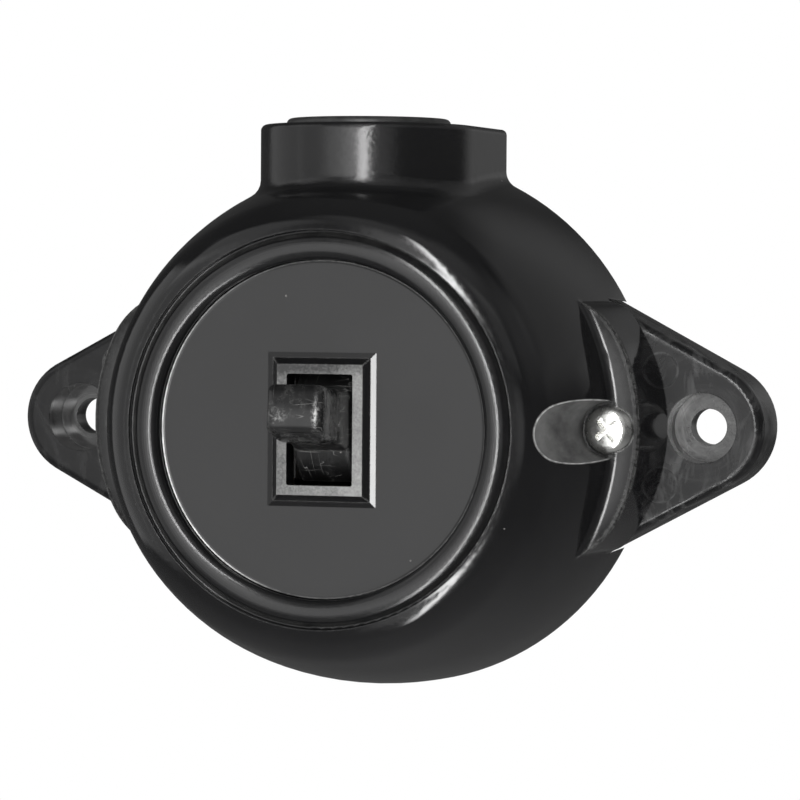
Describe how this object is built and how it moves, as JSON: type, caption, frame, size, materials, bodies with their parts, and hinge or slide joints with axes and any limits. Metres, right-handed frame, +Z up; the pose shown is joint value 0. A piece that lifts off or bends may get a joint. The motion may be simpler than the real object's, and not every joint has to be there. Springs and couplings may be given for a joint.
{
  "type": "surface-mounted light switch",
  "caption": "Round surface-mounted toggle switch: domed black moulded cover with side fixing ears, recessed front plate with bezelled lever slot, and a cable-entry boss on top.",
  "frame": {"origin": "centre of the round base on the wall plane", "axes": "+Y into the wall, so the switch faces -Y; +Z up towards the cable entry; +X to the right seen from the front, along the ears"},
  "size_m": [0.1314, 0.0603, 0.096],
  "materials": {
    "black_moulding": "gloss",
    "plate_moulding": "satin",
    "lever_moulding": "worn gloss",
    "block_moulding": "matte",
    "plunger_moulding": "matte",
    "plated_steel": "bright zinc",
    "spring_steel": "drawn",
    "brass": "satin",
    "brass_screw": "turned",
    "contact_metal": "polished",
    "seal_rubber": "matte"
  },
  "bodies": {
    "housing": {"base": "black_moulding", "cover": "black_moulding", "front_plate": "plate_moulding", "front_gasket": "seal_rubber", "cover_screw": "plated_steel", "cover_inserts": "brass", "switch_block": "block_moulding", "lever_pin": "plated_steel", "common_terminal": "brass", "load_terminal": "brass", "fixed_contact": "contact_metal", "terminal_clamps": "plated_steel", "terminal_screws": "brass_screw", "block_screws": "plated_steel", "block_inserts": "brass", "front_plate_screws": "plated_steel"},
    "toggle": {"lever": "lever_moulding", "plunger": "plunger_moulding", "plunger_spring": "spring_steel"},
    "rocker": {"rocker_contact": "brass", "moving_contact": "contact_metal"}
  },
  "joints": [
    {"name": "lever_toggle", "type": "hinge", "parent": "housing", "child": "toggle", "pos_m": [0, -0.031, 0], "axis": [1, 0, 0], "range_deg": [0, 15]},
    {"name": "rocker_tip", "type": "hinge", "parent": "housing", "child": "rocker", "pos_m": [0, -0.0164, 0], "axis": [1, 0, 0], "range_deg": [-11, 0]}
  ],
  "couplings": [
    {"joint": "rocker_tip", "follows": "lever_toggle", "ratio": -0.7333}
  ]
}
